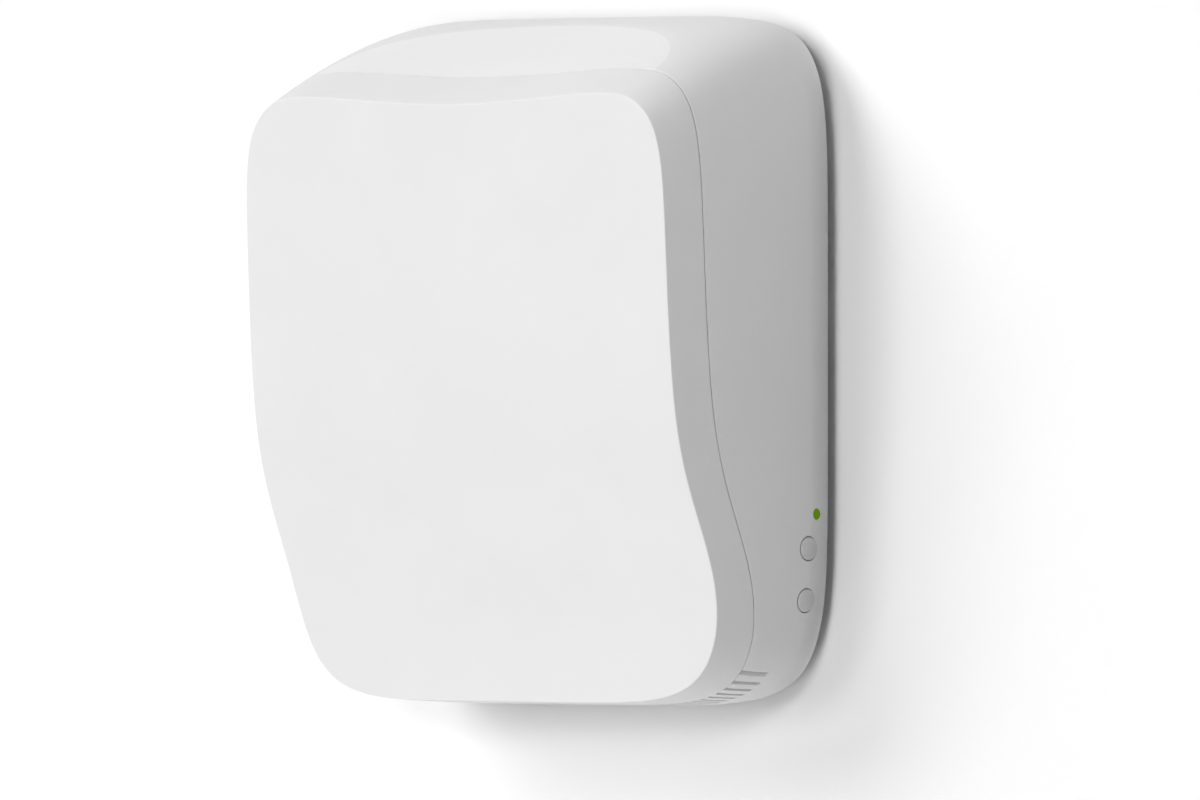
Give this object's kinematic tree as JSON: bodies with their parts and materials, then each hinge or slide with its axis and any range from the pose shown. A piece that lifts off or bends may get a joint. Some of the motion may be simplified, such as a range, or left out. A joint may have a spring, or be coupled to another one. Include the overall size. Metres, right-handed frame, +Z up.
{
  "type": "wall-mounted wireless access point",
  "caption": "Wall-mounted wireless access point with an S-curved matte white shell, a tilting front cover, two side buttons, a status light and a lift-off wall plate.",
  "frame": {"origin": "on the wall plane, at the middle of the wall plate's back face", "axes": "+X to the right seen from the room, +Y into the wall, +Z up; the unit stands out along -Y"},
  "size_m": [0.1754, 0.074, 0.1987],
  "materials": {
    "white_cover": "fine matte moulded polycarbonate blend",
    "white_shell": "fine matte moulded polycarbonate blend",
    "grey_panel": "matte moulded plastic",
    "grey_button": "satin moulded plastic",
    "dark_plastic": "moulded nylon",
    "green_light_pipe": "clear light guide, lit green",
    "led_body": "white LED package",
    "zinc_plate": "zinc-plated sheet steel",
    "screw_steel": "bright zinc",
    "board_laminate": "green solder mask",
    "tinned_shield": "tinned sheet",
    "gold_contact": "gold flash",
    "chip_black": "moulded epoxy package",
    "thermal_pad": "soft silicone pad",
    "sink_aluminium": "extruded aluminium",
    "winding_tape": "polyester tape over a ferrite core",
    "ferrite_grey": "moulded inductor",
    "capacitor_can": "aluminium can",
    "antenna_sheet": "phosphor bronze sheet",
    "lead_jacket": "coaxial lead jacket"
  },
  "bodies": {
    "wall_bracket": {"wall_plate": "zinc_plate"},
    "housing": {"main_housing": "white_shell", "back_panel": "grey_panel", "case_screws": "screw_steel", "upper_switch": "dark_plastic", "lower_switch": "dark_plastic", "light_pipe": "green_light_pipe", "status_led": "led_body", "main_board": "board_laminate", "board_screws": "screw_steel", "left_jack_shield": "tinned_shield", "left_jack_insert": "dark_plastic", "left_jack_contacts": "gold_contact", "right_jack_shield": "tinned_shield", "right_jack_insert": "dark_plastic", "right_jack_contacts": "gold_contact", "line_transformers": "chip_black", "ethernet_chip": "chip_black", "processor": "chip_black", "thermal_pad": "thermal_pad", "heat_sink": "sink_aluminium", "heat_sink_screws": "screw_steel", "memory_chips": "chip_black", "flash_chip": "chip_black", "crystals": "tinned_shield", "left_shield_frame": "tinned_shield", "left_shield_lid": "tinned_shield", "right_shield_frame": "tinned_shield", "right_shield_lid": "tinned_shield", "power_transformer": "winding_tape", "power_inductors": "ferrite_grey", "power_capacitors": "capacitor_can", "lead_sockets": "gold_contact", "antenna_frame": "grey_panel", "frame_screws": "screw_steel", "upper_left_antenna": "antenna_sheet", "upper_right_antenna": "antenna_sheet", "lower_left_antenna": "antenna_sheet", "lower_right_antenna": "antenna_sheet", "upper_left_lead": "lead_jacket", "upper_right_lead": "lead_jacket", "lower_left_lead": "lead_jacket", "lower_right_lead": "lead_jacket"},
    "front_cover": {"front_cover": "white_cover"},
    "upper_button": {"upper_button": "grey_button", "upper_plunger": "dark_plastic"},
    "lower_button": {"lower_button": "grey_button", "lower_plunger": "dark_plastic"}
  },
  "joints": [
    {"name": "unit_lift", "type": "slide", "parent": "wall_bracket", "child": "housing", "axis": [0, 0, 1], "range_m": [0, 0.006]},
    {"name": "front_cover_tilt", "type": "hinge", "parent": "housing", "child": "front_cover", "pos_m": [0, -0.03332, -0.10163], "axis": [1, 0, 0], "range_deg": [0, 25]},
    {"name": "upper_button_press", "type": "slide", "parent": "housing", "child": "upper_button", "axis": [-1, 0, 0], "range_m": [0, 0.0005], "stiffness_N_per_m": 1500, "springref_m": -0.0004},
    {"name": "lower_button_press", "type": "slide", "parent": "housing", "child": "lower_button", "axis": [-1, 0, 0], "range_m": [0, 0.0005], "stiffness_N_per_m": 1500, "springref_m": -0.0004}
  ]
}
